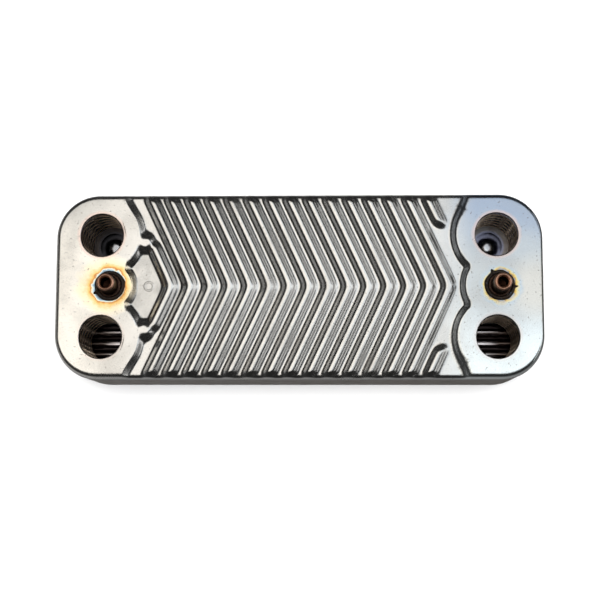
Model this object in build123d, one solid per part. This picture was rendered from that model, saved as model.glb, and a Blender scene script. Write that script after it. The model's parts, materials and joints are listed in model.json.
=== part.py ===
from build123d import *
from math import asin, cos, degrees, radians, tan
import os

# Brazed plate heat exchanger: fourteen thin pressed plates, nested like trays and joined by copper.
# X runs along the plates, Y across them and +Z out of the ports. The origin is the centre of the
# plane that the rearmost skirt stands on. Millimetres.

# Driving dimensions
port_spacing_x = 154.0  # between port centres, along the plates
port_spacing_y = 40.0  # between port centres, across the plates
port_radius = 8.3  # inside the collars of the front cover, and through the channel plates
closing_port_radius = 5.75  # hole through the last plate before the rear cover
rim_length = 191.0  # over the flared skirts
rim_width = 73.0
rim_corner_radius = 17.5
sheet = 0.4  # thickness of every plate
pitch = 2.4  # from one plate to the next
braze_film = 0.02  # copper between two plates that meet
skirt_depth = 5.0  # from a plate's high level down to its rim
bend_radius = 1.5  # outside bend from floor to skirt
channel_plate_count = 11

# Herringbone: every ridge has its apex on the X axis, pointing to +X
ridge_pitch = 7.77
ridge_lean = 0.47  # how far an arm falls back along X for each millimetre across
ridge_crest = 2.0
ridge_slope = 2.4  # run of each flank along X
first_cover_apex = -50.2
joined_ridge_reach = 19.0  # the first ridge ends inside the plateau
cover_ridge_count = 15
short_rib_start = 24.6  # inner end of the two short ribs beside the right plateau
pattern_half_width = 32.5
channel_pattern_half_length = 57.0

# Plateaus of the front cover
plateau_port_radius = 15.8
plateau_stud_radius = 9.5
right_plateau_edge = 65.6

# Seats around the ports of the channel plates, ribs and dimples of the two rear plates
seat_radius = 12.5
flank_run = 2.0  # sideways run of a pressed flank
collar_bend = 0.9
blank_rib_pitch = 4.4
blank_rib_crest = 1.4
blank_rib_slope = 1.0
blank_radius = 10.0
dimple_radius = 2.0

# Threaded studs and their welds
stud_x = (-73.5, 78.0)
stud_height = 11.0
stud_radius = 3.4
stud_foot_radius = 4.6
stud_foot_height = 1.0
stud_thread_radius = 2.1
stud_thread_depth = 9.0
stud_chamfer = 0.4
weld_radius = 6.0
weld_top_radius = 4.9
weld_height = 1.2

# Copper fillet under each rim
seam_width = 0.34
seam_height = 0.7
seam_toe = 0.06

# Derived
press_depth = pitch - sheet - braze_film
flare = degrees(asin((sheet + braze_film) / pitch))
skirt_inset = sheet / cos(radians(flare))
plate_count = channel_plate_count + 3
face_height = skirt_depth + (plate_count - 1) * pitch
port_x = port_spacing_x / 2
port_y = port_spacing_y / 2
margin = 1.0  # how far a cutting shape passes the shape it cuts


def outline_block(inset, low, high, taper):
    """Rounded block whose outline at the level of the rim is drawn in by inset and leans by taper."""
    grow = (-skirt_depth - low) * tan(radians(taper)) - inset
    outline = RectangleRounded(
        rim_length + 2 * grow, rim_width + 2 * grow, rim_corner_radius + grow
    )
    return extrude(Pos(0, 0, low) * outline, amount=high - low, taper=taper)


def pan(top, drop):
    """Block with the flared sides of a plate and a rounded upper edge, or its inside where drop is set."""
    inset = skirt_inset if drop else 0
    low = -skirt_depth - margin if drop else -skirt_depth
    block = outline_block(inset, low, top - drop, flare)
    bend = bend_radius - sheet if drop else bend_radius
    return fillet(block.edges().group_by(Axis.Z)[-1], bend)


def frustum(x, y, radius):
    """Round pressed island of that radius at the high level, with a sloping flank."""
    return Pos(x, y, -press_depth / 2) * Cone(radius + flank_run, radius, press_depth)


def island(low_x, high_x, half_width):
    """Straight-sided pressed island, with sloping flanks."""
    length = high_x - low_x
    foot = Rectangle(length + 2 * flank_run, 2 * (half_width + flank_run))
    head = Rectangle(length, 2 * half_width)
    block = loft([(Pos(0, 0, -press_depth) * foot).face(), head.face()])
    return Pos((low_x + high_x) / 2, 0, 0) * block


def ridge_arm(apex, side, start, end, lean, crest, slope):
    """One straight arm of a ridge, between two distances from the X axis on one side of it."""
    half = crest / 2
    foot = half + slope
    corners = [(-foot, -press_depth), (foot, -press_depth), (half, 0), (-half, 0)]
    section = make_face(
        Polyline(*[(apex + x - lean * start, side * start, z) for x, z in corners], close=True)
    )
    step = Vector(-lean, side, 0)
    return extrude(section, amount=step.length * (end - start), dir=step)


def chevron(apex, start=0.0, end=rim_width / 2):
    """Both arms of one herringbone ridge."""
    return [
        ridge_arm(apex, side, start, end, ridge_lean, ridge_crest, ridge_slope)
        for side in (1, -1)
    ]


def pressed(relief):
    """Sheet of even thickness: a floor at the low level, with the relief raised from it."""
    under = pan(-press_depth, sheet) + Pos(0, 0, -sheet) * relief
    return pan(-press_depth, 0) + relief - under


def plateau(side):
    """Shape of a raised end of the front cover, before it is trimmed to the plate's sides."""
    ends = sorted((side * port_x, side * rim_length))
    zone = island(*ends, rim_width)
    zone += [frustum(side * port_x, y, plateau_port_radius) for y in (-port_y, port_y)]
    if side > 0:
        return zone + island(right_plateau_edge, rim_length, port_y)
    return zone + frustum(stud_x[0], 0, plateau_stud_radius)


def cover_ridges():
    """Herringbone ridges and the two short ribs of the front cover."""
    apexes = [first_cover_apex + ridge_pitch * k for k in range(cover_ridge_count + 1)]
    arms = chevron(apexes[0], end=joined_ridge_reach)
    for apex in apexes[1:-1]:
        arms += chevron(apex)
    arms += chevron(apexes[-1], start=short_rib_start)
    return (Part() + arms) & island(-port_x, port_x, pattern_half_width)


def port_collar(x, y):
    """Lip of the front cover turned down into a port."""
    lip = port_radius + collar_bend
    low = -pitch + braze_film
    with BuildPart() as collar:
        with BuildSketch(Plane.XZ):
            with BuildLine():
                Line((lip, 0), (lip, -sheet))
                RadiusArc((lip, -sheet), (port_radius + sheet, -collar_bend), collar_bend - sheet)
                Line((port_radius + sheet, -collar_bend), (port_radius + sheet, low))
                Line((port_radius + sheet, low), (port_radius, low))
                Line((port_radius, low), (port_radius, -collar_bend))
                RadiusArc((port_radius, -collar_bend), (lip, 0), -collar_bend)
            make_face()
        revolve(axis=Axis.Z)
    return Pos(x, y, 0) * collar.part


def front_cover():
    """Front cover with two plateaus, the herringbone field and four collared ports."""
    relief = cover_ridges()
    raised = plateau(-1) + plateau(1)
    over = pan(-press_depth, 0) + relief + (raised & pan(0, 0))
    dropped = Pos(0, 0, -sheet) * raised & pan(0, sheet)
    under = pan(-press_depth, sheet) + Pos(0, 0, -sheet) * relief + dropped
    plate = over - under
    for x in (-port_x, port_x):
        for y in (-port_y, port_y):
            plate -= Pos(x, y, 0) * Cylinder(port_radius + collar_bend, skirt_depth)
            plate += port_collar(x, y)
    return plate


def herringbone():
    """Ridges of a channel plate, ending short of the ports."""
    reach = channel_pattern_half_length
    first = -reach + ridge_pitch / 2
    count = int((2 * reach + ridge_lean * pattern_half_width) / ridge_pitch)
    ridges = Part() + [arm for k in range(count) for arm in chevron(first + ridge_pitch * k)]
    return ridges & island(-reach, reach, pattern_half_width)


def seats():
    """Raised seats around the two ports on the +Y side."""
    return [frustum(x, port_y, seat_radius) for x in (-port_x, port_x)]


def port_holes(radius, sides):
    """Straight punches through a plate at both ends, on the given sides of the X axis."""
    return [
        Pos(x, side * port_y, -press_depth) * Cylinder(radius, 3 * press_depth)
        for x in (-port_x, port_x)
        for side in sides
    ]


def channel_plate():
    """Channel plate with the seats on its +Y side; every second one is turned half round."""
    return pressed(herringbone() + seats()) - port_holes(port_radius, (-1, 1))


def blank_ribs(x):
    """Straight ribs that stiffen an unpunched port."""
    arms = []
    for k in (-2, -1, 0, 1, 2):
        rib = ridge_arm(0, 1, -blank_radius, blank_radius, 0, blank_rib_crest, blank_rib_slope)
        arms.append(Pos(x, -port_y + k * blank_rib_pitch, 0) * Rot(0, 0, 90) * rib)
    return (Part() + arms) & frustum(x, -port_y, blank_radius)


def closing_plate():
    """Last channel plate: small ports on the +Y side and ribbed blanks on the other."""
    relief = herringbone() + seats() + blank_ribs(-port_x) + blank_ribs(port_x)
    return pressed(relief) - port_holes(closing_port_radius, (1,))


def rear_cover():
    """Unpunched rear cover with a dimple behind each port."""
    dimples = [
        frustum(x, y, dimple_radius) for x in (-port_x, port_x) for y in (-port_y, port_y)
    ]
    return pressed(herringbone() + dimples)


def stud():
    """Round foot and barrel with a blind threaded hole, at its tapping size."""
    foot = Cylinder(stud_foot_radius, stud_foot_height, align=(Align.CENTER, Align.CENTER, Align.MIN))
    barrel = Cylinder(stud_radius, stud_height, align=(Align.CENTER, Align.CENTER, Align.MIN))
    barrel = chamfer(barrel.edges().group_by(Axis.Z)[-1], stud_chamfer)
    thread = Pos(0, 0, stud_height) * Cylinder(stud_thread_radius, 2 * stud_thread_depth)
    return foot + barrel - thread


def weld_bead():
    """Weld metal banked against the foot of a stud."""
    bank = Pos(0, 0, weld_height / 2) * Cone(weld_radius, weld_top_radius, weld_height)
    return bank - Cylinder(stud_foot_radius, 3 * weld_height)


def braze_seam():
    """Loop of copper in the step between one skirt's rim and the next skirt inside it."""
    low = -skirt_depth - seam_height
    wall = outline_block(0, low - pitch, margin, flare)
    wall = Pos(0, 0, -pitch) * wall
    inner_inset = (sheet + braze_film) / cos(radians(flare)) - seam_width
    spread = degrees(asin((seam_width - seam_toe) / seam_height))
    outline = RectangleRounded(
        rim_length - 2 * inner_inset, rim_width - 2 * inner_inset, rim_corner_radius - inner_inset
    )
    bead = extrude(Pos(0, 0, -skirt_depth) * outline, amount=-seam_height, taper=spread)
    return bead - wall


def save(node, shape):
    """Write one node's file."""
    export_step(shape, f"parts/{node}.step")
    print(node, round(shape.volume, 1), shape.is_valid)


def main():
    os.makedirs("parts", exist_ok=True)
    face = [face_height - pitch * k for k in range(plate_count)]
    save("front_cover_plate", Pos(0, 0, face[0]) * front_cover())
    channel = channel_plate()
    for k in range(1, channel_plate_count + 1):
        turn = 180 * (k % 2)
        save(f"channel_plate_{k:02d}", Pos(0, 0, face[k]) * Rot(0, 0, turn) * channel)
    save("closing_plate", Pos(0, 0, face[-2]) * closing_plate())
    save("rear_cover_plate", Pos(0, 0, face[-1]) * rear_cover())
    seam = braze_seam()
    for k in range(plate_count - 1):
        save(f"braze_seam_{k + 1:02d}", Pos(0, 0, face[k]) * seam)
    for name, x in zip(("left", "right"), stud_x):
        save(f"stud_{name}", Pos(x, 0, face_height) * stud())
        save(f"weld_bead_{name}", Pos(x, 0, face_height) * weld_bead())


main()
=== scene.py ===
import json
import math
from collections import namedtuple

import bpy
import numpy as np
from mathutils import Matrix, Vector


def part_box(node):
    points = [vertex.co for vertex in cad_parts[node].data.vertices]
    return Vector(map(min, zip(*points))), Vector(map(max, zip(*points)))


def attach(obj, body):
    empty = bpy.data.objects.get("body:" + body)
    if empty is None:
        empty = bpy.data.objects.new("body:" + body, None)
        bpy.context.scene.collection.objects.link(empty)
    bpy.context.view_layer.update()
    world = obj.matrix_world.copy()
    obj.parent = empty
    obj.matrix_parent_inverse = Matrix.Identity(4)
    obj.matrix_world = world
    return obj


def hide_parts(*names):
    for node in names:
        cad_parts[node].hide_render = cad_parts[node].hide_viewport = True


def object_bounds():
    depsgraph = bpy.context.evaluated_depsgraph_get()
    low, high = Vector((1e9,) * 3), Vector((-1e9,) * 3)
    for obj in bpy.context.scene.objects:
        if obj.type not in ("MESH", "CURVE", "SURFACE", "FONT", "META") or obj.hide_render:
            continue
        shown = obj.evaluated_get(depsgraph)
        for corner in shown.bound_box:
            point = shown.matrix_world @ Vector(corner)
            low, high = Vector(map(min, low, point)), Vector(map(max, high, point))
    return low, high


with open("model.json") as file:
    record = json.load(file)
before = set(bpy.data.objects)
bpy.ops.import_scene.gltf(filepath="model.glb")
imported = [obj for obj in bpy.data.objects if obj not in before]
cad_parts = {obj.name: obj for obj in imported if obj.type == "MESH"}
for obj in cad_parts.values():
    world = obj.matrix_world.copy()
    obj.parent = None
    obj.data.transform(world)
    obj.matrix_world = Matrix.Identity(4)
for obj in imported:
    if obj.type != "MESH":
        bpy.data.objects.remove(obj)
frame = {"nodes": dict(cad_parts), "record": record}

bl_info = {
    "name": "Plate heat exchanger",
    "version": (1, 0, 0),
    "blender": (4, 5, 0),
    "location": "View3D > Sidebar > Exchanger",
    "description": "Builds a brazed plate heat exchanger round its CAD frame",
    "category": "Add Mesh",
}

MM = 0.001
cad_low, cad_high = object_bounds()
mounts = {mount["name"]: mount for mount in frame["record"]["mounts"]}
port_mount = mounts["port_right_rear"]
port_x, port_y = port_mount["pos_m"][0], port_mount["pos_m"][1]
port_radius = port_mount["dims"]["r_mm"] * MM
port_centres = [(x, y) for x in (-port_x, port_x) for y in (-port_y, port_y)]
thread_radius = mounts["stud_thread_left"]["dims"]["r_mm"] * MM
thread_depth = mounts["stud_thread_left"]["dims"]["length_mm"] * MM
stud_x = [mounts["stud_thread_left"]["pos_m"][0], mounts["stud_thread_right"]["pos_m"][0]]
face_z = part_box("weld_bead_left")[0].z
plate_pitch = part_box("channel_plate_01")[1].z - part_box("channel_plate_02")[1].z
channel_nodes = sorted(name for name in frame["nodes"] if name.startswith("channel_plate"))
closing_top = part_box("closing_plate")[1].z
seam_nodes = sorted(name for name in frame["nodes"] if name.startswith("braze_seam"))
film = 0.02 * MM  # copper between two plates that meet
pocket_x = -58.0 * MM  # middle of the closed pocket


# ---------------------------------------------------------------- settings


def length(name, description, default):
    """A length that a user may change, in metres."""
    return bpy.props.FloatProperty(name=name, description=description, default=default, unit="LENGTH")


def colour(name, description, default):
    """A colour that a user may change."""
    return bpy.props.FloatVectorProperty(
        name=name, description=description, default=default, size=3, min=0, max=1, subtype="COLOR"
    )


class PlateSettings(bpy.types.PropertyGroup):
    """Sizes of the pressed plates."""

    sheet: length("Sheet", "Thickness of a plate", 0.4 * MM)
    press: length("Press depth", "Height of the pressed relief", 1.98 * MM)
    skirt: length("Skirt", "From a plate's high level down to its rim", 5.0 * MM)
    bend: length("Bend", "Outside radius between the floor and the skirt", 1.6 * MM)
    flare: bpy.props.FloatProperty(
        name="Flare", description="Lean of the skirt", default=math.radians(10.08), subtype="ANGLE"
    )
    corner: length("Corner", "Corner radius of the rim", 17.5 * MM)
    ridge_pitch: length("Ridge pitch", "Between two ridges, along the plate", 7.745 * MM)
    ridge_lean: bpy.props.FloatProperty(
        name="Ridge lean", description="How far an arm falls back for its distance across", default=0.47
    )
    ridge_foot: length("Ridge foot", "Half width of a ridge at its foot, along the plate", 3.85 * MM)
    ridge_crest: length("Ridge crest", "Half width of a ridge's crest, along the plate", 0.35 * MM)
    ridge_round: length("Ridge round", "How far the point of a chevron is rounded", 1.6 * MM)
    ridge_rise: bpy.props.FloatProperty(
        name="Ridge rise", description="Height of a ridge as a share of the press depth", default=0.82
    )
    first_apex: length("First apex", "Apex of the ridge that closes the pocket", -49.4 * MM)
    ridge_end: length("Ridge end", "Where the round end of a ridge has its centre", 33.1 * MM)
    flank: length("Flank", "Width of a plateau's sloping side", 2.5 * MM)
    collar: length("Collar", "Bend radius of a port's collar", 0.45 * MM)
    channel_reach: length("Channel pattern", "Half length of a channel plate's herringbone", 57.0 * MM)
    seat: length("Seat", "Radius of the raised seat round a channel plate's port", 12.5 * MM)
    closing_port: length("Closing port", "Radius of the small ports in the closing plate", 5.75 * MM)


class FinishSettings(bpy.types.PropertyGroup):
    """Colours of the finishes."""

    steel: colour("Steel", "Bright pressed stainless steel", (0.74, 0.73, 0.71))
    # Warm tint and Cool tint are painted light: the -X end's brighter, warmer tone and the +X end's darker,
    # cooler tone stand for how the light falls on the two ends.
    warm_end_painted_light: colour("Warm tint", "Steel that the furnace has warmed", (0.95, 0.92, 0.86))
    cool_end_painted_light: colour("Cool tint", "Steel at the colder end", (0.58, 0.61, 0.62))
    olive: colour("Skirt", "Dull skirt", (0.36, 0.35, 0.31))
    plate: colour("Channel plate", "Furnace-brazed channel plate", (0.42, 0.37, 0.33))
    copper: colour("Copper", "Copper braze", (0.62, 0.33, 0.21))
    scale: colour("Scale", "Dark scale on welds", (0.060, 0.045, 0.036))
    deep: colour("Rear plates", "Brighter steel of the last two plates", (0.46, 0.45, 0.45))
    stud: colour("Stud", "Copper-flashed rim of a stud", (0.74, 0.42, 0.29))
    floor: colour("Floor", "Floor under the exchanger", (0.93, 0.93, 0.93))


class StageSettings(bpy.types.PropertyGroup):
    """Camera and lights."""

    camera_x: length("Camera along", "Camera's place along the plates", 14.8 * MM)
    camera_y: length("Camera across", "Camera's place across the plates", -68.0 * MM)
    camera_height: length("Camera height", "Camera above the exchanger's face", 499.9 * MM)
    camera_turn: bpy.props.FloatVectorProperty(
        name="Camera turn", description="Camera's angles", default=(0.124, 0.028, 0.002), subtype="EULER"
    )
    lens: bpy.props.FloatProperty(name="Lens", description="Focal length in millimetres", default=78.0)
    key_glow: bpy.props.FloatProperty(
        name="Key light", description="Brightness of a softbox's face", default=1.40
    )
    floor_sun: bpy.props.FloatProperty(
        name="Floor light", description="Strength of the floor's own light", default=4.5
    )


# ---------------------------------------------------------------- shapes

# Share of a flank that its parabolas take at each end
RIDGE_BEND, PLATEAU_BEND, DIMPLE_BEND = 0.42, 0.16, 0.20

Port = namedtuple("Port", "centre radius rings profile")
Grid = namedtuple("Grid", "columns corner_columns rows bend_steps")
Grid.__doc__ = """Fineness of a tray: columns out to the ridges' end and from there to the corners, columns
in a corner, (end, count) of its spans of rows, and steps in its bend."""


def smooth(t):
    """Rises from 0 to 1 along 3t^2 - 2t^3 and stays level outside that range."""
    t = np.clip(t, 0, 1)
    return t * t * (3 - 2 * t)


def flank(t, bend):
    """Rises from 0 to 1 along an even slope, joined to the levels by a parabola over that share of it
    at each end."""
    t = np.clip(t, 0, 1)
    foot = t ** 2 / (2 * bend * (1 - bend))
    head = 1 - (1 - t) ** 2 / (2 * bend * (1 - bend))
    return np.where(t < bend, foot, np.where(t > 1 - bend, head, (t - bend / 2) / (1 - bend)))


def soft_union(first, second, reach):
    """Lower of two signed distances, with the crease between them filled over reach."""
    share = np.clip(0.5 + 0.5 * (second - first) / reach, 0, 1)
    return second + (first - second) * share - reach * share * (1 - share)


def round_union(first, second, radius):
    """Lower of two signed distances, with a fillet of that radius where both are less than it: the
    radius, less the length of the two shortfalls taken as a vector."""
    filled = np.hypot(np.maximum(radius - first, 0), np.maximum(radius - second, 0))
    return np.maximum(radius, np.minimum(first, second)) - filled


def disc(x, y, centre_x, centre_y, radius):
    """Signed distance to a circle: the distance to its centre less its radius."""
    return np.hypot(x - centre_x, y - centre_y) - radius


def ridge(s, x, y, apex, start, end):
    """Height share of one chevron ridge: a rounded flank worked from the distance to its leaning line,
    with round ends at two distances from the X axis."""
    along = np.hypot(y, s.ridge_round)
    offset = x + s.ridge_lean * along - apex
    past = np.maximum(np.maximum(along - end, start - along), 0) * (1 + 0.25 * s.ridge_lean)
    distance = np.hypot(offset, past)
    return s.ridge_rise * flank((s.ridge_foot - distance) / (s.ridge_foot - s.ridge_crest), RIDGE_BEND)


def cover_relief(s, x, y):
    """Height share of the front cover, 1 on the plateaus and 0 on the floor: the highest of two
    plateaus, made of discs softly joined, the ridge that closes the pocket, the herringbone's ridges
    and a pair of short ones."""
    whole_ridges = 14
    across = np.abs(y)
    left = soft_union(
        disc(x, across, -port_x, port_y, 14.8 * MM),
        disc(x, across, -80.5 * MM, 34.0 * MM, 11.5 * MM), 5 * MM
    )
    left = round_union(left, disc(x, across, stud_x[0], 0, 8.3 * MM), s.flank)
    left = soft_union(left, disc(x, across, -60.0 * MM, 17.2 * MM, 1.9 * MM), 1.6 * MM)
    left = np.minimum(left, x + 76 * MM)
    right = soft_union(
        disc(x, across, port_x, port_y, 15.5 * MM),
        disc(x, across, 80.5 * MM, 34.0 * MM, 13.6 * MM), 5 * MM
    )
    right = soft_union(right, disc(x, across, stud_x[1], 0, 13.0 * MM), 1.4 * MM)
    right = np.minimum(right, 77 * MM - x)
    height = flank((s.flank - np.minimum(left, right)) / s.flank, PLATEAU_BEND)
    height = np.maximum(height, ridge(s, x, y, s.first_apex, 0, 15.6 * MM))
    for k in range(1, whole_ridges + 1):
        height = np.maximum(height, ridge(s, x, y, s.first_apex + k * s.ridge_pitch, 0, s.ridge_end))
    last_apex = s.first_apex + (whole_ridges + 1) * s.ridge_pitch
    return np.maximum(height, ridge(s, x, y, last_apex, 25.8 * MM, s.ridge_end))


def herringbone(s, x, y):
    """Height share of a channel plate's ridges, ending short of the ports."""
    reach = s.channel_reach
    first = -reach + s.ridge_pitch / 2
    count = int((2 * reach + s.ridge_lean * s.ridge_end) / s.ridge_pitch)
    height = np.zeros_like(x)
    for k in range(count):
        height = np.maximum(height, ridge(s, x, y, first + k * s.ridge_pitch, 0, s.ridge_end))
    return height * smooth((reach - np.abs(x)) / s.flank + 1)


def port_wave(x, y, centre_x, centre_y):
    """Strength of the scallops round a port: a cosine about its centre, fading with distance and
    strongest on the side away from the middle of the plate."""
    scallops, reach, fading = 12, 12.5 * MM, 3.2 * MM
    east, north = x - centre_x, y - centre_y
    angle = np.arctan2(north, east)
    fade = smooth((reach - np.hypot(east, north)) / fading)
    away = np.cos(angle - math.atan2(centre_y, centre_x))
    strength = 0.12 + 0.7 * smooth(0.9 * away)
    return fade * strength * (0.5 + 0.5 * np.cos(scallops * angle))


def raised_seat(s, x, y, centre_x):
    """Height share of the round seat of a +Y port, smoothed over the width of a flank."""
    return smooth((s.flank - disc(x, y, centre_x, port_y, s.seat)) / s.flank)


def channel_relief(s, x, y):
    """Height share of a channel plate: herringbone, two raised seats on the +Y side, and scallops that
    dip into the seats and rise from the floor round the other two ports."""
    height = herringbone(s, x, y)
    for centre_x in (-port_x, port_x):
        height = np.maximum(height, raised_seat(s, x, y, centre_x)) - port_wave(x, y, centre_x, port_y)
        height = np.maximum(height, port_wave(x, y, centre_x, -port_y))
    return np.clip(height, 0, 1)


def closing_relief(s, x, y):
    """Height share of the closing plate: herringbone, seats at the small ports, and five straight ribs
    over each unpunched port."""
    rib_pitch, rib_half, rib_slope = 4.4 * MM, 1.75 * MM, 1.3 * MM
    height = herringbone(s, x, y)
    for centre_x in (-port_x, port_x):
        height = np.maximum(height, raised_seat(s, x, y, centre_x))
        inside = smooth(-disc(x, y, centre_x, -port_y, 11.0 * MM) / (1.6 * MM))
        for k in range(-2, 3):
            offset = np.abs(y + port_y - k * rib_pitch)
            height = np.maximum(height, inside * smooth((rib_half - offset) / rib_slope))
    return height


def rear_relief(s, x, y):
    """Height share of the rear cover: herringbone and a small dimple behind each port."""
    radius, slope = 2.0 * MM, 1.8 * MM
    height = herringbone(s, x, y)
    for centre_x in (-port_x, port_x):
        dimple = disc(x, np.abs(y), centre_x, port_y, radius)
        height = np.maximum(height, flank((slope - dimple) / slope, DIMPLE_BEND))
    return height


def grid_lines(spans):
    """Positions from 0 outwards, spread evenly within each span of (end, count), and mirrored."""
    half = [np.zeros(1)]
    for end, count in spans:
        half.append(np.linspace(half[-1][-1], end, count + 1)[1:])
    half = np.concatenate(half)
    return np.concatenate([-half[:0:-1], half])


def tray_grid(s, grid):
    """Points that fill a tray's flat. Columns lean like the herringbone in the middle, and in the
    corner zone they follow the sine of the corner's angle, where the half width follows its cosine."""
    ridges_end, left_fade, right_fade = 62 * MM, 28 * MM, 16 * MM
    edge = bend_start(s, 0)
    middle_x = cad_high.x - s.corner
    middle_y = cad_high.y - s.corner
    radius = s.corner - edge
    turn = np.linspace(0, np.pi / 2, grid.corner_columns + 1)[1:]
    straight = grid_lines(zip((ridges_end, middle_x), grid.columns))
    zone = middle_x + radius * np.sin(turn)
    lines = np.concatenate([-zone[::-1], straight, zone])
    past = np.clip(np.abs(lines) - middle_x, 0, radius)
    half_width = middle_y + np.sqrt(radius ** 2 - past ** 2)
    share = grid_lines(grid.rows) / grid.rows[-1][0]
    y = half_width[:, None] * share[None, :]
    lean = np.where(lines < 0, (lines + middle_x) / left_fade, (middle_x - lines) / right_fade)
    along = np.hypot(y, s.ridge_round)
    return lines[:, None] - s.ridge_lean * np.clip(lean, 0, 1)[:, None] * along, y


def bend_start(s, height):
    """How far inside the rim the bend begins, for a height share: the lean of the skirt and the
    tangent length of the bend."""
    turn = math.pi / 2 - s.flare
    rise = s.skirt - s.press * (1 - height)
    return rise * math.tan(s.flare) + s.bend * math.tan(turn / 2)


def border(number, low_i, high_i, low_j, high_j):
    """Vertex numbers round a block of a grid, anticlockwise."""
    return np.concatenate([
        number[low_i:high_i, low_j],
        number[high_i, low_j:high_j],
        number[high_i:low_i:-1, high_j],
        number[low_i, high_j:low_j:-1],
    ])


def open_port(x, y, port):
    """Chooses a block of cells to leave out and draws the grid round it onto a circle: near the block
    a point's distance from the centre is set by its ring, and that fades out over some rings. Moves
    the points of x and y in place and returns the block."""
    east, north = x - port.centre[0], y - port.centre[1]
    near = np.argmin(np.hypot(east, north))
    i, j = np.unravel_index(near, x.shape)
    half = 0.84 * port.radius
    columns = np.nonzero(np.abs(east[:, j]) < half)[0]
    rows = np.nonzero(np.abs(north[i, :]) < half)[0]
    block = (columns[0], columns[-1], rows[0], rows[-1])
    across, up = np.indices(x.shape)
    ring = np.maximum.reduce([
        block[0] - across, across - block[1], block[2] - up, up - block[3], np.zeros_like(up)
    ])
    weight = smooth(1 - ring / port.rings)
    step = 2 * half / (block[1] - block[0])
    distance = np.maximum(np.hypot(east, north), 0.01 * MM)
    scale = (1 - weight) + weight * (port.radius + ring * step) / distance
    x[:] = port.centre[0] + east * scale
    y[:] = port.centre[1] + north * scale
    return block


class Shell:
    """Collects the points and four-sided faces of one closed piece."""

    def __init__(self):
        self.points = []
        self.faces = []
        self.count = 0

    def add_points(self, points):
        """Adds points and returns their numbers."""
        points = np.asarray(points, float).reshape(-1, 3)
        self.points.append(points)
        self.count += len(points)
        return np.arange(self.count - len(points), self.count)

    def add_strips(self, loops):
        """Joins each closed loop of point numbers to the next."""
        for near, far in zip(loops, loops[1:]):
            self.faces.append(np.stack([near, far, np.roll(far, -1), np.roll(near, -1)], axis=1))

    def finish(self, name, material, sharp=50):
        """Makes the object: unused points are dropped, and edges past an angle stay sharp."""
        points, faces = np.concatenate(self.points), np.concatenate(self.faces)
        used, faces = np.unique(faces, return_inverse=True)
        faces = faces.reshape(-1, 4)
        mesh = bpy.data.meshes.new(name)
        mesh.vertices.add(len(used))
        mesh.vertices.foreach_set("co", points[used].astype(np.float32).ravel())
        mesh.loops.add(faces.size)
        mesh.loops.foreach_set("vertex_index", faces.astype(np.int32).ravel())
        mesh.polygons.add(len(faces))
        mesh.polygons.foreach_set("loop_start", np.arange(0, faces.size, 4, dtype=np.int32))
        mesh.update(calc_edges=True)
        mesh.polygons.foreach_set("use_smooth", np.ones(len(faces), bool))
        mesh.set_sharp_from_angle(angle=math.radians(sharp))
        mesh.materials.append(material)
        return show(name, mesh)


def outward(s, x, y):
    """Directions out of a rounded rectangle: from the corner's centre in a corner, else square."""
    east = np.maximum(np.abs(x) - (cad_high.x - s.corner), 0)
    north = np.maximum(np.abs(y) - (cad_high.y - s.corner), 0)
    size = np.hypot(east, north)
    return np.sign(x) * east / size, np.sign(y) * north / size


def inset_depth(s, x, y):
    """Distance inside the rim's rounded rectangle."""
    east = np.abs(x) - (cad_high.x - s.corner)
    north = np.abs(y) - (cad_high.y - s.corner)
    outside = np.hypot(np.maximum(east, 0), np.maximum(north, 0))
    return s.corner - outside - np.minimum(np.maximum(east, north), 0)


def skirt_rings(s, x, y, height, start, steps):
    """Rings from the edge of a tray's flat round to its underside: the outer bend, the flared wall,
    the rim with its two small chamfers, the inner wall and the inner bend. Each ring lies at an inset
    from the rim's rounded rectangle."""
    out_x, out_y = outward(s, x, y)
    begin = bend_start(s, height)
    edge_z = -s.press * (1 - height)
    first = np.arcsin(np.clip((begin - start) / s.bend, 0, 1))
    last = math.pi / 2 - s.flare
    wall = s.sheet / math.cos(s.flare)
    small = 0.05 * MM
    rings = []

    def ring(inset, z):
        away = start - inset
        rings.append(np.stack([x + out_x * away, y + out_y * away, z + 0 * x], axis=1))

    for t in np.arange(1, steps + 1) / steps:
        angle = first + t * (last - first)
        ring(begin - s.bend * np.sin(angle), edge_z - s.bend * (1 - np.cos(angle)))
    ring(small * math.tan(s.flare), -s.skirt + small)
    ring(small, -s.skirt)
    ring(wall - small, -s.skirt)
    inner = s.bend - s.sheet
    for t in np.arange(steps, 0, -1) / steps:
        angle = first + t * (last - first)
        ring(begin - inner * np.sin(angle), edge_z - s.bend + inner * np.cos(angle))
    return rings


def collar_profile(s):
    """Distances from a port's wall and depths of a collar: a quarter round, a short wall, its cut edge
    and the way back up behind it."""
    turn = np.linspace(0, np.pi / 2, 7)[1:]
    back = turn[::-1]
    depth = plate_pitch - film
    small = 0.05 * MM
    inner = s.collar - s.sheet
    out = [s.collar * (1 - np.sin(turn)), [0, small, s.sheet], s.collar - inner * np.sin(back)]
    down = [-s.collar * (1 - np.cos(turn)), [small - depth, -depth, -depth], -s.collar + inner * np.cos(back)]
    return np.concatenate(out), np.concatenate(down)


def punched_profile(s):
    """Distances from a port's wall and depths of a plain punched edge with small chamfers."""
    small = 0.11 * MM
    return np.array([0, 0]), np.array([-small, small - s.sheet])


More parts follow.
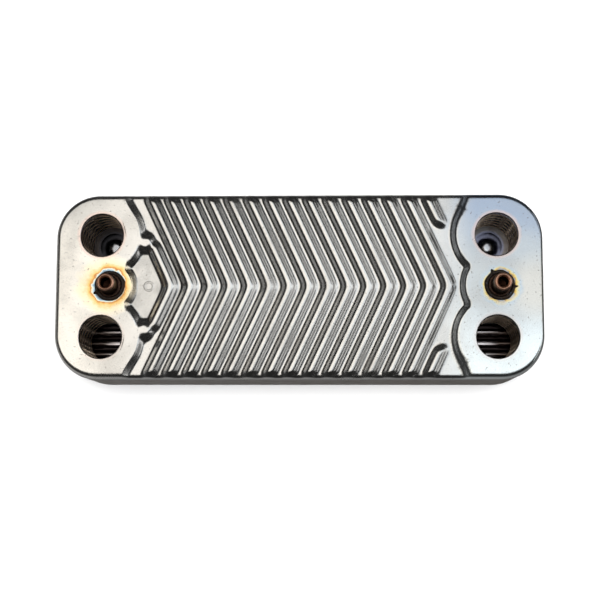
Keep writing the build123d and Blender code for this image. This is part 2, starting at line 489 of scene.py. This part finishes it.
def tray(s, name, material, relief, ports, grid, level, turned=False):
    """One pressed plate as a closed shell: a top grid with its relief, the same grid one sheet lower,
    the skirt between their borders, and an edge or collar round each port, whose widest ring lies on
    the circle that the grid was drawn to. It can be turned half round about the upright axis."""
    x, y = tray_grid(s, grid)
    blocks = [open_port(x, y, port) for port in ports]
    height = relief(s, x, y)
    start = bend_start(s, 0)
    fall = np.clip(bend_start(s, height) - inset_depth(s, x, y), 0, s.bend)
    z = -s.press * (1 - height) - (s.bend - np.sqrt(s.bend ** 2 - fall ** 2))
    shell = Shell()
    number = shell.add_points(np.stack([x, y, z], axis=2)).reshape(x.shape)
    under = shell.add_points(np.stack([x, y, z - s.sheet], axis=2)).reshape(x.shape)
    kept = np.ones((x.shape[0] - 1, x.shape[1] - 1), bool)
    for low_i, high_i, low_j, high_j in blocks:
        kept[low_i:high_i, low_j:high_j] = False
    for side, order in ((number, [0, 1, 2, 3]), (under, [3, 2, 1, 0])):
        corners = [side[:-1, :-1], side[1:, :-1], side[1:, 1:], side[:-1, 1:]]
        shell.faces.append(np.stack([corner[kept] for corner in corners], axis=1)[:, order])
    whole = (0, x.shape[0] - 1, 0, x.shape[1] - 1)
    loop = border(number, *whole)
    flat = (x.ravel()[loop], y.ravel()[loop], height.ravel()[loop])
    rings = skirt_rings(s, *flat, start, grid.bend_steps)
    loops = [loop, *[shell.add_points(ring) for ring in rings], border(under, *whole)]
    shell.add_strips(loops)
    for port, block in zip(ports, blocks):
        loop = border(number, *block)[::-1]
        east, north = x.ravel()[loop] - port.centre[0], y.ravel()[loop] - port.centre[1]
        size = np.hypot(east, north)
        outs, downs = port.profile(s)
        loops = [loop]
        for radius, down in zip(port.radius - outs.max() + outs, downs):
            loops.append(shell.add_points(np.stack([
                port.centre[0] + east / size * radius,
                port.centre[1] + north / size * radius,
                z.ravel()[loop] + down,
            ], axis=1)))
        shell.add_strips([*loops, border(under, *block)[::-1]])
    for points in shell.points:
        points[:, 2] += level
        if turned:
            points[:, :2] *= -1
    return shell.finish(name, material)


def lathe(rings, centre_x, level, count):
    """A profile carried round an upright axis: rings gives the radius and height of each ring at every
    angle. Returns the shell and its loops, which aren't joined yet."""
    shell = Shell()
    angle = np.arange(count) * 2 * np.pi / count
    loops = []
    for radius, height in rings(angle):
        x = centre_x + radius * np.cos(angle)
        y = radius * np.sin(angle)
        loops.append(shell.add_points(np.stack([x, y, level + height + 0 * angle], axis=1)))
    return shell, loops


def place(piece, node):
    """Gives a finished piece its body, the CAD node that it stands for and its slot."""
    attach(piece, "root")
    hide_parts(node)


# ---------------------------------------------------------------- finishes

# Lengths inside a finish are in metres, so 0.001 is a millimetre
BURNT = (0.12, 0.09, 0.07)
# Painted shade: near black painted under the -Y ports of the last plates.
PAINTED_PORT_SHADE = (0.05, 0.04, 0.04)


class Number:
    """A number that varies over a surface. Arithmetic on it adds Math nodes."""

    def __init__(self, nodes, socket):
        self.nodes = nodes
        self.socket = socket

    def __add__(self, other):
        return self.nodes.maths("ADD", self, other)

    def __sub__(self, other):
        return self.nodes.maths("SUBTRACT", self, other)

    def __rsub__(self, other):
        return self.nodes.maths("SUBTRACT", other, self)

    def __mul__(self, other):
        return self.nodes.maths("MULTIPLY", self, other)

    __radd__ = __add__
    __rmul__ = __mul__


class Nodes:
    """Adds nodes to one tree."""

    def __init__(self, tree):
        self.tree = tree

    def link(self, value, socket):
        """Feeds a socket from another one or from a Number."""
        self.tree.links.new(value.socket if isinstance(value, Number) else value, socket)

    def node(self, kind, settings, inputs):
        """Adds a node of that type, makes its settings, then sets or links its sockets."""
        made = self.tree.nodes.new(kind)
        for key, value in settings.items():
            if key == "stops":
                for k, (position, shade) in enumerate(value):
                    stop = made.color_ramp.elements[k] if k < 2 else made.color_ramp.elements.new(position)
                    stop.position = position
                    stop.color = (*shade, 1)
            else:
                setattr(made, key, value)
        for key, value in inputs.items():
            if isinstance(value, (Number, bpy.types.NodeSocket)):
                self.link(value, made.inputs[key])
            elif made.inputs[key].type == "RGBA":
                made.inputs[key].default_value = (*value, 1)
            else:
                made.inputs[key].default_value = value
        return made

    def maths(self, operation, *values):
        """A Math node on numbers."""
        made = self.node("ShaderNodeMath", {"operation": operation}, dict(enumerate(values)))
        return Number(self, made.outputs[0])

    def split(self, vector):
        """The three numbers of a vector."""
        made = self.node("ShaderNodeSeparateXYZ", {}, {0: vector})
        return [Number(self, socket) for socket in made.outputs]

    def ramp(self, value, stops):
        """Colour picked along a ramp."""
        return self.node("ShaderNodeValToRGB", {"stops": stops}, {0: value}).outputs[0]


class Finish(Nodes):
    """Builds one procedural material."""

    def __init__(self, name, **surface):
        self.material = bpy.data.materials.new(name)
        self.material.use_nodes = True
        super().__init__(self.material.node_tree)
        self.tree.nodes.clear()
        self.surface = self.node("ShaderNodeBsdfPrincipled", {}, surface)
        self.node("ShaderNodeOutputMaterial", {}, {"Surface": self.surface.outputs["BSDF"]})
        self.place = self.node("ShaderNodeTexCoord", {}, {}).outputs["Object"]
        self.x, self.y, self.z = self.split(self.place)

    def step(self, value, low, high):
        """Rises smoothly from 0 to 1 between low and high, or falls where low is above high."""
        ends = {"Value": value, "From Min": min(low, high), "From Max": max(low, high)}
        if low > high:
            ends.update({"To Min": 1.0, "To Max": 0.0})
        made = self.node("ShaderNodeMapRange", {"interpolation_type": "SMOOTHSTEP"}, ends)
        return Number(self, made.outputs[0])

    def distance(self, centre_x, centre_y):
        """Distance from an upright axis."""
        east, north = self.x - centre_x, self.y - centre_y
        return self.maths("SQRT", east * east + north * north)

    def noise(self, scale, detail=3.0, stretch=(1, 1, 1)):
        """Noise with that many grains to the metre, stretched along some axes."""
        mapping = {"Vector": self.place, "Scale": stretch}
        spot = self.node("ShaderNodeMapping", {"vector_type": "POINT"}, mapping).outputs[0]
        made = self.node("ShaderNodeTexNoise", {}, {"Vector": spot, "Scale": scale, "Detail": detail})
        return Number(self, made.outputs[0])

    def mix(self, first, second, share):
        """Blends two colours."""
        made = self.node("ShaderNodeMix", {"data_type": "RGBA"}, {0: share, 6: first, 7: second})
        return made.outputs[2]

    def bump(self, height, distance, strength):
        """Raises a fine relief."""
        made = self.node("ShaderNodeBump", {}, {"Height": height, "Distance": distance, "Strength": strength})
        self.set("Normal", made.outputs[0])

    def set(self, socket, value):
        """Feeds a socket of the surface."""
        self.link(value, self.surface.inputs[socket])


def cover_finish(c):
    """Bright pressed steel: warm at the -X end and cool at the +X end, coloured by heat round the studs
    and ports, dull on the skirt, with fine grain, faint drawing marks, specks and a small stamped ring
    in the pocket."""
    f = Finish("cover_steel_finish", Metallic=1.0)
    grain = f.noise(2600, 4)
    marks = f.noise(700, 3, (0.25, 1.6, 1))
    cloud = f.noise(60, 3)
    # Painted light and shade across Y: the -X end is painted darker grey towards +Y, and the +X end is
    # painted lighter towards -Y and darker and bluish towards +Y.
    painted_light_height = f.y + (cloud - 0.5) * 0.020
    grey, painted_low_light, painted_blue_shade, painted_pale_patch = (0.50, 0.50, 0.49), (0.94, 1.0, 1.0), (0.40, 0.47, 0.58), (0.76, 0.72, 0.65)
    warm_end_painted_light = f.mix(c.warm_end_painted_light, grey, f.step(painted_light_height - f.x * 0.25, 0.026, 0.060))
    cool_end_painted_light = f.mix(painted_low_light, c.cool_end_painted_light, f.step(painted_light_height, -0.032, -0.002))
    cool_end_painted_light = f.mix(cool_end_painted_light, painted_blue_shade, f.step(painted_light_height, 0.006, 0.030))
    # Painted light: a pale, warmer patch painted at the middle of the +X end.
    cool_end_painted_light = f.mix(cool_end_painted_light, painted_pale_patch, f.step(f.distance(0.092, -0.001), 0.016, 0.004) * 0.75)
    # Painted light: the -X end gets its brighter, warmer tone and the +X end its darker, cooler one.
    base = f.mix(warm_end_painted_light, c.steel, f.step(f.x, -0.095, -0.058))
    base = f.mix(base, cool_end_painted_light, f.step(f.x, 0.052, 0.070))
    base = f.mix(base, (0.62, 0.60, 0.56), f.step(cloud, 0.45, 0.75) * 0.30)
    base = f.mix(base, (0.50, 0.49, 0.46), f.step(grain, 0.52, 0.70) * 0.30)
    patch = f.noise(150, 3)
    fringe = (f.noise(700, 4) - 0.5) * 0.0014
    weld_edge = 0.0048
    left = f.distance(stud_x[0], 0) + fringe + (patch - 0.5) * 0.0045 + (f.x - stud_x[0]) * 0.12
    tint = f.ramp((left - weld_edge) * 125, [
        (0.0, BURNT), (0.10, (0.22, 0.34, 0.46)), (0.16, (0.60, 0.74, 0.80)),
        (0.20, (0.90, 0.86, 0.66)), (0.25, (0.62, 0.27, 0.07)), (0.34, (0.96, 0.62, 0.24)),
        (0.55, (0.99, 0.86, 0.62)), (1.0, (0.97, 0.93, 0.84)),
    ])
    base = f.mix(base, tint, f.step(left, 0.0135, 0.0100))
    right = f.distance(stud_x[1], 0) + fringe + (patch - 0.5) * 0.0050 - (f.x - stud_x[1]) * 0.05
    tint = f.ramp((right - weld_edge) * 230, [
        (0.0, BURNT), (0.18, (0.20, 0.28, 0.38)), (0.28, (0.50, 0.30, 0.08)),
        (0.38, (0.82, 0.60, 0.20)), (0.50, (0.78, 0.70, 0.44)), (0.64, (0.56, 0.64, 0.70)),
        (1.0, c.cool_end_painted_light),
    ])
    base = f.mix(base, tint, f.step(right, 0.0096, 0.0076) * (0.25 + f.step(patch, 0.36, 0.54) * 0.75))
    for x, y in port_centres:
        near = f.distance(x, y) + fringe * 0.6
        base = f.mix(base, (0.80, 0.58, 0.50), f.step(near, 0.0102, 0.0088) * (0.5 if y > 0 else 0.2))
    pocket = f.step(f.distance(pocket_x, 0), 0.018, 0.015) * f.step(f.z, face_z - 0.0012, face_z - 0.0018)
    base = f.mix(base, (0.44, 0.44, 0.43), pocket * (0.35 + f.step(patch, 0.35, 0.65) * 0.4))
    specks = f.step(f.noise(1200, 1), 0.69, 0.75)
    base = f.mix(base, (0.22, 0.20, 0.18), specks * 0.55)
    base = f.mix(base, c.olive, f.step(f.z, face_z - 0.0028, face_z - 0.0042))
    f.set("Base Color", base)
    f.set("Roughness", 0.17 + grain * 0.10 + f.step(cloud, 0.4, 0.8) * 0.08)
    stamp = f.distance(pocket_x - 0.0005, 0)
    ring = f.step(stamp, 0.0012, 0.0015) * f.step(stamp, 0.0021, 0.0018)
    f.bump(grain * 0.5 + marks * 0.6 + ring * 9, 0.00002, 0.35)
    return f.material


def plate_finish(c):
    """Dull brown-grey steel from the furnace, with copper on the port edges and dark inside."""
    f = Finish("plate_steel_finish", Metallic=1.0)
    grain = f.noise(1800, 4)
    cloud = f.noise(160, 3)
    base = f.mix(c.plate, (0.30, 0.25, 0.21), f.step(cloud, 0.35, 0.7))
    for x, y in port_centres:
        near = f.distance(x, y) + (grain - 0.5) * 0.0006
        # Painted shade: the plate is painted near black round each port, where the inside of the stack lies
        # in shade.
        base = f.mix(base, (0.10, 0.08, 0.07), f.step(near, 0.0135, 0.0120))
        base = f.mix(base, (0.96, 0.78, 0.62), f.step(near, 0.0090, 0.0084) * f.step(cloud, 0.10, 0.4))
    f.set("Base Color", base)
    f.set("Roughness", 0.28 + grain * 0.18)
    f.bump(grain, 0.00003, 0.4)
    return f.material


def deep_finish(c):
    """Brighter steel of the last plates. Round the +Y ports it is dark at -X and lilac at +X, with a
    pale spot in the middle. Under the -Y ports it is sooty, with bright crests."""
    f = Finish("closing_steel_finish", Metallic=1.0)
    grain = f.noise(1500, 4)
    cloud = f.noise(220, 3)
    base = f.mix(c.deep, (0.34, 0.30, 0.29), f.step(cloud, 0.4, 0.7))
    crest = f.step(f.z, closing_top - 0.0010, closing_top - 0.0001)
    # Painted highlight: rib crests towards the middle of the plate are painted near white with a faint copper
    # pink, the outer ones dull.
    middle = f.step(f.maths("ABSOLUTE", f.x), 0.0820, 0.0740)
    rib_crest_painted_highlight = f.mix((0.34, 0.28, 0.26), (1.0, 0.94, 0.95), middle)
    # Painted shade: round the -X port the plate is painted near black and its ring colour is near black too;
    # at +X the ring is pale violet.
    for x, painted_shade_share, ring_tone_and_painted_shade in ((-port_x, 0.85, (0.12, 0.12, 0.14)), (port_x, 0.0, (0.50, 0.53, 0.72))):
        near = f.distance(x, port_y)
        base = f.mix(base, (0.07, 0.06, 0.06), f.step(near, 0.0130, 0.0120) * painted_shade_share)
        base = f.mix(base, ring_tone_and_painted_shade, f.step(near, 0.0070, 0.0059))
        # Painted highlight: a pale spot painted in the middle of each +Y port, on the rear cover's dimple.
        base = f.mix(base, (0.90, 0.94, 1.0), f.step(near, 0.0034, 0.0028))
        # Painted shade under each -Y port, with painted highlights on the rib crests.
        under = f.step(f.distance(x, -port_y), 0.0120, 0.0100)
        base = f.mix(base, PAINTED_PORT_SHADE, under)
        base = f.mix(base, rib_crest_painted_highlight, under * crest)
    f.set("Base Color", base)
    f.set("Roughness", 0.24 + grain * 0.16)
    f.bump(grain, 0.00002, 0.3)
    return f.material


def copper_finish(c):
    """Dull copper filler, darker and greener in patches."""
    f = Finish("braze_copper_finish", Metallic=1.0)
    grain = f.noise(900, 4)
    base = f.mix(c.copper, (0.20, 0.13, 0.10), f.step(grain, 0.4, 0.7))
    f.set("Base Color", base)
    f.set("Roughness", 0.36 + grain * 0.2)
    f.bump(grain, 0.00005, 0.5)
    return f.material


def stud_finish(c):
    """Copper-flashed steel: bright copper on the rim and in the bore, brown and scaled on the side."""
    f = Finish("stud_copper_finish", Metallic=1.0)
    grain = f.noise(1400, 4)
    side = f.mix((0.050, 0.030, 0.022), (0.17, 0.095, 0.065), f.step(grain, 0.50, 0.72))
    rim = f.step(f.z, cad_high.z - 0.0012, cad_high.z - 0.0003)
    base = f.mix(side, c.stud, rim)
    axis = f.maths("MINIMUM", f.distance(stud_x[0], 0), f.distance(stud_x[1], 0))
    # Painted shade: the bore is painted darker with depth, from copper at its entrance to near black.
    painted_bore_light = f.step(f.z, cad_high.z - 0.0042, cad_high.z - 0.0010)
    bore = f.mix((0.05, 0.022, 0.014), (0.42, 0.19, 0.11), painted_bore_light)
    base = f.mix(base, bore, f.step(axis, 0.0028, 0.0025))
    f.set("Base Color", base)
    f.set("Roughness", 0.26 + grain * 0.25)
    f.bump(grain, 0.00006, 0.5)
    return f.material


def weld_finish(c):
    """Dark scaled weld metal with rusty and bluish patches."""
    f = Finish("weld_scale_finish", Metallic=0.85)
    grain = f.noise(800, 5)
    cloud = f.noise(260, 3)
    base = f.mix(c.scale, (0.090, 0.060, 0.045), f.step(cloud, 0.5, 0.68))
    base = f.mix(base, (0.16, 0.20, 0.27), f.step(grain, 0.58, 0.72) * 0.6)
    f.set("Base Color", base)
    f.set("Roughness", 0.34 + grain * 0.4)
    f.bump(grain, 0.0002, 0.6)
    return f.material


def floor_finish(c):
    """Pale matt floor with the faintest mottling."""
    f = Finish("floor_finish", Roughness=0.6)
    cloud = f.noise(8, 3)
    f.set("Base Color", f.mix(c.floor, (0.95, 0.95, 0.95), f.step(cloud, 0.3, 0.7)))
    return f.material


def finish_of(maker):
    """The material of that finish, made the first time it is asked for."""
    name = maker.__name__.replace("_finish", "_made")
    if name not in bpy.data.materials:
        maker(bpy.context.scene.exchanger_finish).name = name
    return bpy.data.materials[name]


# ---------------------------------------------------------------- operators


class EXCHANGER_OT_front_cover(bpy.types.Operator):
    """Build the front cover plate."""

    bl_idname = "exchanger.front_cover"
    bl_label = "Front cover"

    def execute(self, context):
        s = context.scene.exchanger_plate
        rows = [(4 * MM, 7), (10 * MM, 12), (30 * MM, 20), (34.7 * MM, 8)]
        grid = Grid((134, 38), 24, rows, bend_steps=5)
        ports = [Port(centre, port_radius + s.collar, 9, collar_profile) for centre in port_centres]
        piece = tray(s, "front_cover", finish_of(cover_finish), cover_relief, ports, grid, face_z)
        place(piece, "front_cover_plate")
        return {"FINISHED"}


class EXCHANGER_OT_channel_plates(bpy.types.Operator):
    """Build the channel plates, every second one turned half round."""

    bl_idname = "exchanger.channel_plates"
    bl_label = "Channel plates"

    def execute(self, context):
        s = context.scene.exchanger_plate
        grid = Grid((50, 16), 16, [(8 * MM, 6), (32 * MM, 28), (34.7 * MM, 3)], bend_steps=3)
        ports = [Port(centre, port_radius, 7, punched_profile) for centre in port_centres]
        for k, node in enumerate(channel_nodes, 1):
            name = node.replace("channel_plate", "pressed_channel_plate")
            piece = tray(s, name, finish_of(plate_finish), channel_relief, ports, grid,
                         face_z - k * plate_pitch, turned=k % 2 == 1)
            place(piece, node)
        return {"FINISHED"}


class EXCHANGER_OT_rear_plates(bpy.types.Operator):
    """Build the closing plate and the rear cover."""

    bl_idname = "exchanger.rear_plates"
    bl_label = "Rear plates"

    def execute(self, context):
        s = context.scene.exchanger_plate
        rows = [(8 * MM, 10), (32 * MM, 40), (34.7 * MM, 5)]
        ports = [Port((x, port_y), s.closing_port, 6, punched_profile) for x in (-port_x, port_x)]
        level = face_z - (len(channel_nodes) + 1) * plate_pitch
        piece = tray(s, "pressed_closing_plate", finish_of(deep_finish), closing_relief, ports,
                     Grid((62, 24), 20, rows, bend_steps=3), level)
        place(piece, "closing_plate")
        piece = tray(s, "rear_cover", finish_of(deep_finish), rear_relief, [],
                     Grid((124, 30), 20, rows, bend_steps=4), level - plate_pitch)
        place(piece, "rear_cover_plate")
        return {"FINISHED"}


class EXCHANGER_OT_braze_seams(bpy.types.Operator):
    """Build the fillets of copper under the rims."""

    bl_idname = "exchanger.braze_seams"
    bl_label = "Braze seams"

    def execute(self, context):
        s = context.scene.exchanger_plate
        for k, node in enumerate(seam_nodes):
            piece = seam(s, k, node.replace("braze_seam", "copper_seam"), finish_of(copper_finish))
            place(piece, node)
        return {"FINISHED"}


def seam(s, k, name, material):
    """A small fillet, its profile in millimetres, carried round the rim: a corner's quarter circle and
    the straight after it, four times. Its width and depth swell and shrink as a sum of slow waves."""
    corner_steps, side_steps, end_steps = 14, 90, 24
    middle = np.array([cad_high.x - s.corner, cad_high.y - s.corner])
    turn = np.arange(corner_steps) / corner_steps * np.pi / 2
    signs = [(1, 1), (-1, 1), (-1, -1), (1, -1)]
    centres, angles = [], []
    for quarter, sign in enumerate(signs):
        centre, following = middle * sign, middle * signs[(quarter + 1) % 4]
        centres.append(np.tile(centre, (corner_steps, 1)))
        angles.append(turn + quarter * np.pi / 2)
        count = end_steps if quarter % 2 else side_steps
        centres.append(centre + (following - centre) * np.arange(count)[:, None] / count)
        angles.append(np.full(count, (quarter + 1) * np.pi / 2))
    centres, angles = np.concatenate(centres), np.concatenate(angles)
    way = np.stack([np.cos(angles), np.sin(angles)], axis=1)
    turns = np.arange(len(angles)) / len(angles) * 2 * np.pi
    swell = 0.86 + 0.07 * np.sin(23 * turns + 1.7 * k) + 0.07 * np.sin(41 * turns + 2.9 * k * k)
    gap = (s.sheet + film) / math.cos(s.flare)
    level = face_z - k * plate_pitch - s.skirt
    profile = [(0.0, 0.0), (-0.34, 0.0), (-0.24, -0.13), (-0.14, -0.34), (-0.06, -0.69), (0.0, -0.69)]
    shell = Shell()
    loops = []
    for out, down in profile:
        inset = gap + (out * swell + down * math.tan(s.flare)) * MM
        height = level + down * MM * (swell if down else 1)
        ring = np.column_stack([centres + way * (s.corner - inset)[:, None], height + 0 * angles])
        loops.append(shell.add_points(ring))
    shell.add_strips([*loops, loops[0]])
    return shell.finish(name, material)


class EXCHANGER_OT_studs(bpy.types.Operator):
    """Build the two threaded studs."""

    bl_idname = "exchanger.studs"
    bl_label = "Studs"

    def execute(self, context):
        for node in ("stud_left", "stud_right"):
            place(stud(node), node)
        return {"FINISHED"}


def stud(node):
    """A foot, a barrel and a threaded blind bore, worked in millimetres. The thread's radius is a
    triangle wave of height and angle together, which makes a helix, and it fades out at both ends."""
    low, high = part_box(node)
    centre_x = (low.x + high.x) / 2
    foot, tall = (high.x - low.x) / 2 / MM, (high.z - low.z) / MM
    barrel, bore, depth = foot * 0.74, thread_radius / MM, thread_depth / MM
    thread_height, thread_pitch = 0.36, 0.8
    count = 72

    def rings(angle):
        dent = 0.04 * np.sin(3 * angle + centre_x * 900) + 0.03 * np.sin(7 * angle)
        outer = [
            (foot - 0.2, 0.0), (foot, 0.0), (foot, 0.75), (foot - 0.25, 1.0), (barrel + 0.5, 1.02),
            (barrel + 0.12, 1.2), (barrel, 1.6), (barrel - 0.02, 4.0), (barrel + 0.02, 7.0),
            (barrel, tall - 0.55), (barrel - 0.12, tall - 0.22), (barrel - 0.4, tall - 0.04),
            (barrel - 0.6, tall), (bore + 0.55, tall), (bore + 0.3, tall - 0.12),
        ]
        for radius, height in outer:
            yield (radius + dent * (height > 1.3)) * MM, height * MM
        for height in np.linspace(tall - 0.2, tall - depth, 84):
            phase = (height / thread_pitch + angle / (2 * np.pi)) % 1
            fade = smooth((tall - height) / 0.6) * smooth((height - tall + depth) / 0.8)
            yield (bore + thread_height * fade * np.abs(2 * phase - 1)) * MM, height * MM

    shell, loops = lathe(rings, centre_x, low.z, count)
    shell.add_strips(loops)
    angle = np.arange(count) * 2 * np.pi / count
    tip = 0.15 * MM
    row = np.arange(1, count // 2)
    for loop, height, upright in ((loops[-1], tall - depth - 0.5, 1), (loops[0], 0, -1)):
        ring = shell.add_points(np.stack([
            centre_x + tip * np.cos(angle), tip * np.sin(angle), low.z + height * MM + 0 * angle
        ], axis=1))
        shell.add_strips([loop, ring][::upright])
        cap = [ring[row - 1], ring[row], ring[(count - row - 1) % count], ring[(count - row) % count]]
        shell.faces.append(np.stack(cap[::upright], axis=1))
    return shell.finish(node.replace("stud", "hollow_stud"), finish_of(stud_finish), 40)


class EXCHANGER_OT_welds(bpy.types.Operator):
    """Build the weld beads."""

    bl_idname = "exchanger.welds"
    bl_label = "Weld beads"

    def execute(self, context):
        for k, node in enumerate(("weld_bead_left", "weld_bead_right")):
            place(weld(node, k), node)
        return {"FINISHED"}


def weld(node, k):
    """A rough bank round a stud's foot: each ring's radius and height carry a sum of waves, and a few
    narrow peaks make the flash that was squeezed out. The profile gives each ring's radius and height
    in millimetres and how far the waves sway it out and heave it up."""
    low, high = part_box(node)

    def waves(angle, seed):
        total = np.zeros_like(angle)
        for order in (2, 3, 5, 8, 13, 19, 29):
            total += np.sin(order * angle + seed * order * 1.3 + order * order) / (1 + order * 0.35)
        return total * 0.33

    def rings(angle):
        rough = waves(angle, 1.0 + k)
        lumps = waves(angle, 4.3 + 2 * k)
        spikes = np.maximum(np.cos(1.5 * angle + 0.9 + 2.3 * k), 0) ** 90
        profile = [
            (4.62, 0.02, 0, 0), (4.64, 0.9, 0, 0.2), (4.95, 1.25, 0.2, 0.35), (5.4, 1.2, 0.4, 0.4),
            (5.65, 0.8, 0.6, 0.3), (5.85, 0.4, 0.8, 0.15), (5.98, 0.12, 0.95, 0.04), (5.95, 0.0, 0.95, 0),
        ]
        for radius, height, sway, heave in profile:
            out = radius + sway * (0.45 * rough + 1.2 * spikes)
            up = height + heave * (lumps + 0.8 * spikes)
            yield out * MM, np.maximum(up, 0) * MM

    shell, loops = lathe(rings, (low.x + high.x) / 2, low.z, 180)
    shell.add_strips([*loops[::-1], loops[-1]])
    return shell.finish(node.replace("weld_bead", "rough_weld"), finish_of(weld_finish), 60)


def studio_world():
    """Dark room overhead with a grey band near the horizon, brighter towards -X, and grey below it."""
    world = bpy.data.worlds.new("studio")
    world.use_nodes = True
    nodes = Nodes(world.node_tree)
    background = world.node_tree.nodes["Background"]
    way = nodes.node("ShaderNodeTexCoord", {}, {}).outputs["Generated"]
    east, _, up = nodes.split(way)
    greys = [(0.0, 0.26), (0.47, 0.20), (0.50, 0.09), (0.54, 0.022), (0.70, 0.025), (1.0, 0.010)]
    band = nodes.ramp(up * 0.5 + 0.5, [(position, (grey, grey, grey)) for position, grey in greys])
    nodes.link(band, background.inputs["Color"])
    nodes.link(1.0 - east * 0.6, background.inputs["Strength"])
    return world


def show(name, data, location=(0, 0, 0), turn=(0, 0, 0)):
    """Puts a mesh, light or camera in the scene."""
    made = bpy.data.objects.new(name, data)
    made.location = location
    made.rotation_euler = turn
    bpy.context.collection.objects.link(made)
    return made


def softbox(name, size, centre, lean, glow, tone=(1, 1, 1)):
    """A rectangular light with a face of that brightness, which the camera doesn't see. It points down
    when its lean is nothing, and a quarter turn points it along X."""
    lamp = bpy.data.lights.new(name, "AREA")
    lamp.shape = "RECTANGLE"
    lamp.size, lamp.size_y = size
    lamp.energy = glow * math.pi * lamp.size * lamp.size_y
    lamp.color = tone
    show(name, lamp, centre, (0, lean, 0)).visible_camera = False


class EXCHANGER_OT_stage(bpy.types.Operator):
    """Lay the floor and set up the lights and the camera."""

    bl_idname = "exchanger.stage"
    bl_label = "Stage"

    def execute(self, context):
        s = context.scene.exchanger_stage
        scene = context.scene
        size = 8.0
        mesh = bpy.data.meshes.new("floor")
        corners = [(-size, -size), (size, -size), (size, size), (-size, size)]
        mesh.from_pydata([(x, y, cad_low.z) for x, y in corners], [], [(0, 1, 2, 3)])
        mesh.materials.append(finish_of(floor_finish))
        floor = show("floor", mesh)
        floor.visible_glossy = False
        overhead = [  # span along X in millimetres, colour and share of the glow
            ("warm_softbox", (-285, 60), (1.0, 0.965, 0.91), 1.0),
            ("cool_softbox", (60, 1000), (0.93, 0.97, 1.0), 0.86),
        ]
        for name, (low, high), tone, share in overhead:
            centre = ((low + high) / 2 * MM, 84 * MM, face_z + 600 * MM)
            softbox(name, ((high - low) * MM, 340 * MM), centre, 0, s.key_glow * share, tone)
        panels = [  # place along X, spans in height and along Y in millimetres, and share of the glow
            ("right_panel", 1150, (470, 740), (-600, 900), 0.80),
            ("right_low_panel", 1150, (390, 470), (-600, 900), 0.36),
            ("left_low_panel", -1100, (280, 400), (-500, 1000), 0.34),
        ]
        for name, x, (low, high), (near, far), share in panels:
            centre = (x * MM, (near + far) / 2 * MM, (low + high) / 2 * MM)
            lean = math.copysign(math.pi / 2, x)
            softbox(name, ((high - low) * MM, (far - near) * MM), centre, lean, s.key_glow * share)
        lamp = bpy.data.lights.new("floor_light", "SUN")
        lamp.energy = s.floor_sun
        lamp.angle = math.radians(60)
        show("floor_light", lamp).visible_glossy = False
        scene.world = studio_world()
        view = bpy.data.cameras.new("view")
        view.lens = s.lens
        view.sensor_width = 36.0
        view.clip_start, view.clip_end = 0.01, 20.0
        location = (s.camera_x, s.camera_y, face_z + s.camera_height)
        scene.camera = show("view", view, location, s.camera_turn)
        scene.view_settings.view_transform = "Standard"
        return {"FINISHED"}


class EXCHANGER_PT_panel(bpy.types.Panel):
    """Lists the steps."""

    bl_idname = "EXCHANGER_PT_panel"
    bl_label = "Plate heat exchanger"
    bl_space_type = "VIEW_3D"
    bl_region_type = "UI"
    bl_category = "Exchanger"

    def draw(self, context):
        for step in steps:
            self.layout.operator(step.bl_idname)


steps = (
    EXCHANGER_OT_front_cover, EXCHANGER_OT_channel_plates, EXCHANGER_OT_rear_plates,
    EXCHANGER_OT_braze_seams, EXCHANGER_OT_studs, EXCHANGER_OT_welds, EXCHANGER_OT_stage,
)
groups = {
    "exchanger_plate": PlateSettings,
    "exchanger_finish": FinishSettings,
    "exchanger_stage": StageSettings,
}


def register():
    """Registers the classes and hangs the settings on the scene."""
    for entry in (*groups.values(), *steps, EXCHANGER_PT_panel):
        bpy.utils.register_class(entry)
    for name, group in groups.items():
        setattr(bpy.types.Scene, name, bpy.props.PointerProperty(type=group))


def unregister():
    """Takes the settings and classes away again."""
    for name in groups:
        delattr(bpy.types.Scene, name)
    for entry in (EXCHANGER_PT_panel, *reversed(steps), *reversed(groups.values())):
        bpy.utils.unregister_class(entry)


def main():
    """Builds everything and writes the two boxes."""
    register()
    for step in steps:
        group, name = step.bl_idname.split(".")
        getattr(getattr(bpy.ops, group), name)()


if __name__ == "__main__":
    main()
